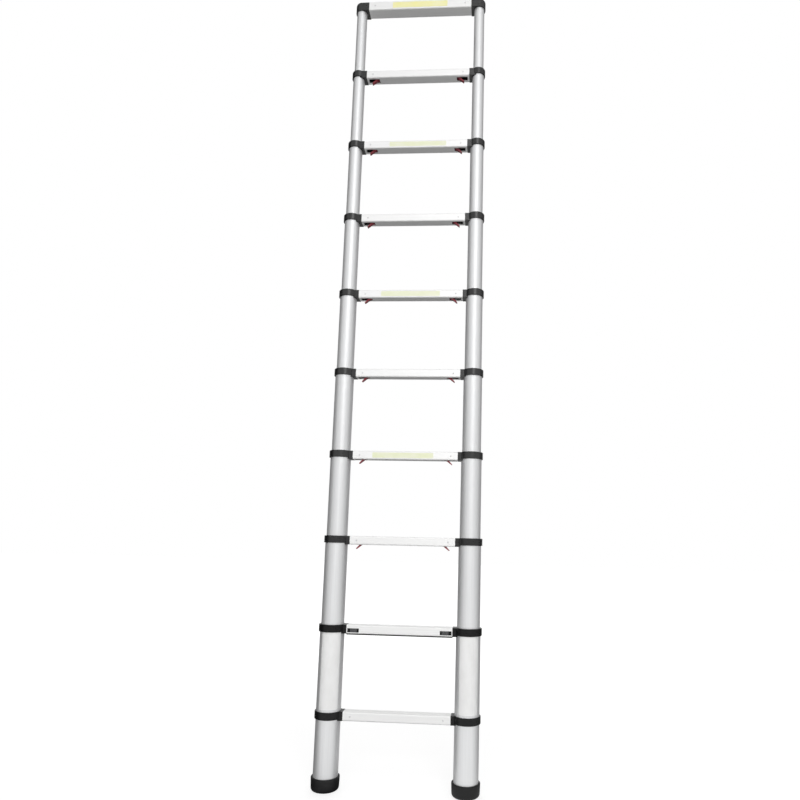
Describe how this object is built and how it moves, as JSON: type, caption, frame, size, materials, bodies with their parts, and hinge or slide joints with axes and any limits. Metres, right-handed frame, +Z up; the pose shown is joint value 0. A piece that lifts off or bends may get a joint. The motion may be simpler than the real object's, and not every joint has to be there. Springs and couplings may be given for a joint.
{
  "type": "telescopic ladder",
  "caption": "Telescopic aluminium ladder: nested round tubes slide into each other, with hollow rungs on plastic collars, red latch triggers, thumb release slides and rubber feet.",
  "frame": {"origin": "on the floor, midway between the two feet", "axes": "+Z up along the tubes, +X to the right along the rungs, +Y to the back; the release slides face -Y"},
  "size_m": [0.4938, 0.0838, 2.578],
  "materials": {
    "tube_aluminium": "satin anodised",
    "rung_aluminium": "pale satin extrusion",
    "black_plastic": "moulded, semi-matt",
    "red_plastic": "moulded, semi-matt",
    "steel": "turned and zinc plated",
    "rubber": "matt"
  },
  "bodies": {
    "base": {"feet": "rubber", "base_tubes": "tube_aluminium", "base_collars": "black_plastic", "rung_1": "rung_aluminium", "rung_2": "rung_aluminium", "rung_2_strip": "black_plastic"},
    "left_release": {"left_release": "black_plastic"},
    "right_release": {"right_release": "black_plastic"},
    "section_3": {"tubes_3": "tube_aluminium", "collars_3": "black_plastic", "rung_3": "rung_aluminium"},
    "section_4": {"tubes_4": "tube_aluminium", "collars_4": "black_plastic", "rung_4": "rung_aluminium"},
    "section_5": {"tubes_5": "tube_aluminium", "collars_5": "black_plastic", "rung_5": "rung_aluminium"},
    "section_6": {"tubes_6": "tube_aluminium", "collars_6": "black_plastic", "rung_6": "rung_aluminium"},
    "section_7": {"tubes_7": "tube_aluminium", "collars_7": "black_plastic", "rung_7": "rung_aluminium"},
    "section_8": {"tubes_8": "tube_aluminium", "collars_8": "black_plastic", "rung_8": "rung_aluminium"},
    "section_9": {"tubes_9": "tube_aluminium", "collars_9": "black_plastic", "rung_9": "rung_aluminium"},
    "section_10": {"tubes_10": "tube_aluminium", "caps_10": "black_plastic", "rung_10": "rung_aluminium"},
    "left_trigger_3": {"left_trigger_3": "red_plastic"},
    "left_bolt_3": {"left_bolt_3": "steel"},
    "right_trigger_3": {"right_trigger_3": "red_plastic"},
    "right_bolt_3": {"right_bolt_3": "steel"},
    "left_trigger_4": {"left_trigger_4": "red_plastic"},
    "left_bolt_4": {"left_bolt_4": "steel"},
    "right_trigger_4": {"right_trigger_4": "red_plastic"},
    "right_bolt_4": {"right_bolt_4": "steel"},
    "left_trigger_5": {"left_trigger_5": "red_plastic"},
    "left_bolt_5": {"left_bolt_5": "steel"},
    "right_trigger_5": {"right_trigger_5": "red_plastic"},
    "right_bolt_5": {"right_bolt_5": "steel"},
    "left_trigger_6": {"left_trigger_6": "red_plastic"},
    "left_bolt_6": {"left_bolt_6": "steel"},
    "right_trigger_6": {"right_trigger_6": "red_plastic"},
    "right_bolt_6": {"right_bolt_6": "steel"},
    "left_trigger_7": {"left_trigger_7": "red_plastic"},
    "left_bolt_7": {"left_bolt_7": "steel"},
    "right_trigger_7": {"right_trigger_7": "red_plastic"},
    "right_bolt_7": {"right_bolt_7": "steel"},
    "left_trigger_8": {"left_trigger_8": "red_plastic"},
    "left_bolt_8": {"left_bolt_8": "steel"},
    "right_trigger_8": {"right_trigger_8": "red_plastic"},
    "right_bolt_8": {"right_bolt_8": "steel"},
    "left_trigger_9": {"left_trigger_9": "red_plastic"},
    "left_bolt_9": {"left_bolt_9": "steel"},
    "right_trigger_9": {"right_trigger_9": "red_plastic"},
    "right_bolt_9": {"right_bolt_9": "steel"}
  },
  "joints": [
    {"name": "section_3_slide", "type": "slide", "parent": "base", "child": "section_3", "axis": [0, 0, 1], "range_m": [-0.2225, 0]},
    {"name": "section_4_slide", "type": "slide", "parent": "section_3", "child": "section_4", "axis": [0, 0, 1], "range_m": [-0.2225, 0]},
    {"name": "section_5_slide", "type": "slide", "parent": "section_4", "child": "section_5", "axis": [0, 0, 1], "range_m": [-0.2225, 0]},
    {"name": "section_6_slide", "type": "slide", "parent": "section_5", "child": "section_6", "axis": [0, 0, 1], "range_m": [-0.2225, 0]},
    {"name": "section_7_slide", "type": "slide", "parent": "section_6", "child": "section_7", "axis": [0, 0, 1], "range_m": [-0.2225, 0]},
    {"name": "section_8_slide", "type": "slide", "parent": "section_7", "child": "section_8", "axis": [0, 0, 1], "range_m": [-0.2225, 0]},
    {"name": "section_9_slide", "type": "slide", "parent": "section_8", "child": "section_9", "axis": [0, 0, 1], "range_m": [-0.2225, 0]},
    {"name": "section_10_slide", "type": "slide", "parent": "section_9", "child": "section_10", "axis": [0, 0, 1], "range_m": [-0.2335, 0]},
    {"name": "left_release_slide", "type": "slide", "parent": "base", "child": "left_release", "axis": [-1, 0, 0], "range_m": [-0.0055, 0.00275], "stiffness_N_per_m": 300},
    {"name": "right_release_slide", "type": "slide", "parent": "base", "child": "right_release", "axis": [1, 0, 0], "range_m": [-0.0055, 0.00275], "stiffness_N_per_m": 300},
    {"name": "left_trigger_3_hinge", "type": "hinge", "parent": "section_3", "child": "left_trigger_3", "pos_m": [-0.1239, 0, 0.7122], "axis": [0, -1, 0], "range_deg": [-29, 15]},
    {"name": "left_bolt_3_slide", "type": "slide", "parent": "section_3", "child": "left_bolt_3", "axis": [-1, 0, 0], "range_m": [-0.0055, 0.00275], "stiffness_N_per_m": 300},
    {"name": "right_trigger_3_hinge", "type": "hinge", "parent": "section_3", "child": "right_trigger_3", "pos_m": [0.1239, 0, 0.7122], "axis": [0, 1, 0], "range_deg": [-29, 15]},
    {"name": "right_bolt_3_slide", "type": "slide", "parent": "section_3", "child": "right_bolt_3", "axis": [1, 0, 0], "range_m": [-0.0055, 0.00275], "stiffness_N_per_m": 300},
    {"name": "left_trigger_4_hinge", "type": "hinge", "parent": "section_4", "child": "left_trigger_4", "pos_m": [-0.1263, 0, 0.9752], "axis": [0, -1, 0], "range_deg": [-29, 15]},
    {"name": "left_bolt_4_slide", "type": "slide", "parent": "section_4", "child": "left_bolt_4", "axis": [-1, 0, 0], "range_m": [-0.0055, 0.00275], "stiffness_N_per_m": 300},
    {"name": "right_trigger_4_hinge", "type": "hinge", "parent": "section_4", "child": "right_trigger_4", "pos_m": [0.1263, 0, 0.9752], "axis": [0, 1, 0], "range_deg": [-29, 15]},
    {"name": "right_bolt_4_slide", "type": "slide", "parent": "section_4", "child": "right_bolt_4", "axis": [1, 0, 0], "range_m": [-0.0055, 0.00275], "stiffness_N_per_m": 300},
    {"name": "left_trigger_5_hinge", "type": "hinge", "parent": "section_5", "child": "left_trigger_5", "pos_m": [-0.1287, 0, 1.2382], "axis": [0, -1, 0], "range_deg": [-29, 15]},
    {"name": "left_bolt_5_slide", "type": "slide", "parent": "section_5", "child": "left_bolt_5", "axis": [-1, 0, 0], "range_m": [-0.0055, 0.00275], "stiffness_N_per_m": 300},
    {"name": "right_trigger_5_hinge", "type": "hinge", "parent": "section_5", "child": "right_trigger_5", "pos_m": [0.1287, 0, 1.2382], "axis": [0, 1, 0], "range_deg": [-29, 15]},
    {"name": "right_bolt_5_slide", "type": "slide", "parent": "section_5", "child": "right_bolt_5", "axis": [1, 0, 0], "range_m": [-0.0055, 0.00275], "stiffness_N_per_m": 300},
    {"name": "left_trigger_6_hinge", "type": "hinge", "parent": "section_6", "child": "left_trigger_6", "pos_m": [-0.1311, 0, 1.5012], "axis": [0, -1, 0], "range_deg": [-29, 15]},
    {"name": "left_bolt_6_slide", "type": "slide", "parent": "section_6", "child": "left_bolt_6", "axis": [-1, 0, 0], "range_m": [-0.0055, 0.00275], "stiffness_N_per_m": 300},
    {"name": "right_trigger_6_hinge", "type": "hinge", "parent": "section_6", "child": "right_trigger_6", "pos_m": [0.1311, 0, 1.5012], "axis": [0, 1, 0], "range_deg": [-29, 15]},
    {"name": "right_bolt_6_slide", "type": "slide", "parent": "section_6", "child": "right_bolt_6", "axis": [1, 0, 0], "range_m": [-0.0055, 0.00275], "stiffness_N_per_m": 300},
    {"name": "left_trigger_7_hinge", "type": "hinge", "parent": "section_7", "child": "left_trigger_7", "pos_m": [-0.1335, 0, 1.7642], "axis": [0, -1, 0], "range_deg": [-29, 15]},
    {"name": "left_bolt_7_slide", "type": "slide", "parent": "section_7", "child": "left_bolt_7", "axis": [-1, 0, 0], "range_m": [-0.0055, 0.00275], "stiffness_N_per_m": 300},
    {"name": "right_trigger_7_hinge", "type": "hinge", "parent": "section_7", "child": "right_trigger_7", "pos_m": [0.1335, 0, 1.7642], "axis": [0, 1, 0], "range_deg": [-29, 15]},
    {"name": "right_bolt_7_slide", "type": "slide", "parent": "section_7", "child": "right_bolt_7", "axis": [1, 0, 0], "range_m": [-0.0055, 0.00275], "stiffness_N_per_m": 300},
    {"name": "left_trigger_8_hinge", "type": "hinge", "parent": "section_8", "child": "left_trigger_8", "pos_m": [-0.1359, 0, 2.0272], "axis": [0, -1, 0], "range_deg": [-29, 15]},
    {"name": "left_bolt_8_slide", "type": "slide", "parent": "section_8", "child": "left_bolt_8", "axis": [-1, 0, 0], "range_m": [-0.0055, 0.00275], "stiffness_N_per_m": 300},
    {"name": "right_trigger_8_hinge", "type": "hinge", "parent": "section_8", "child": "right_trigger_8", "pos_m": [0.1359, 0, 2.0272], "axis": [0, 1, 0], "range_deg": [-29, 15]},
    {"name": "right_bolt_8_slide", "type": "slide", "parent": "section_8", "child": "right_bolt_8", "axis": [1, 0, 0], "range_m": [-0.0055, 0.00275], "stiffness_N_per_m": 300},
    {"name": "left_trigger_9_hinge", "type": "hinge", "parent": "section_9", "child": "left_trigger_9", "pos_m": [-0.1383, 0, 2.2902], "axis": [0, -1, 0], "range_deg": [-29, 15]},
    {"name": "left_bolt_9_slide", "type": "slide", "parent": "section_9", "child": "left_bolt_9", "axis": [-1, 0, 0], "range_m": [-0.0055, 0.00275], "stiffness_N_per_m": 300},
    {"name": "right_trigger_9_hinge", "type": "hinge", "parent": "section_9", "child": "right_trigger_9", "pos_m": [0.1383, 0, 2.2902], "axis": [0, 1, 0], "range_deg": [-29, 15]},
    {"name": "right_bolt_9_slide", "type": "slide", "parent": "section_9", "child": "right_bolt_9", "axis": [1, 0, 0], "range_m": [-0.0055, 0.00275], "stiffness_N_per_m": 300}
  ],
  "couplings": [
    {"joint": "left_trigger_3_hinge", "follows": "left_bolt_3_slide", "rad_per_m": 88.496},
    {"joint": "right_trigger_3_hinge", "follows": "right_bolt_3_slide", "rad_per_m": 88.496},
    {"joint": "left_trigger_4_hinge", "follows": "left_bolt_4_slide", "rad_per_m": 88.496},
    {"joint": "right_trigger_4_hinge", "follows": "right_bolt_4_slide", "rad_per_m": 88.496},
    {"joint": "left_trigger_5_hinge", "follows": "left_bolt_5_slide", "rad_per_m": 88.496},
    {"joint": "right_trigger_5_hinge", "follows": "right_bolt_5_slide", "rad_per_m": 88.496},
    {"joint": "left_trigger_6_hinge", "follows": "left_bolt_6_slide", "rad_per_m": 88.496},
    {"joint": "right_trigger_6_hinge", "follows": "right_bolt_6_slide", "rad_per_m": 88.496},
    {"joint": "left_trigger_7_hinge", "follows": "left_bolt_7_slide", "rad_per_m": 88.496},
    {"joint": "right_trigger_7_hinge", "follows": "right_bolt_7_slide", "rad_per_m": 88.496},
    {"joint": "left_trigger_8_hinge", "follows": "left_bolt_8_slide", "rad_per_m": 88.496},
    {"joint": "right_trigger_8_hinge", "follows": "right_bolt_8_slide", "rad_per_m": 88.496},
    {"joint": "left_trigger_9_hinge", "follows": "left_bolt_9_slide", "rad_per_m": 88.496},
    {"joint": "right_trigger_9_hinge", "follows": "right_bolt_9_slide", "rad_per_m": 88.496}
  ]
}
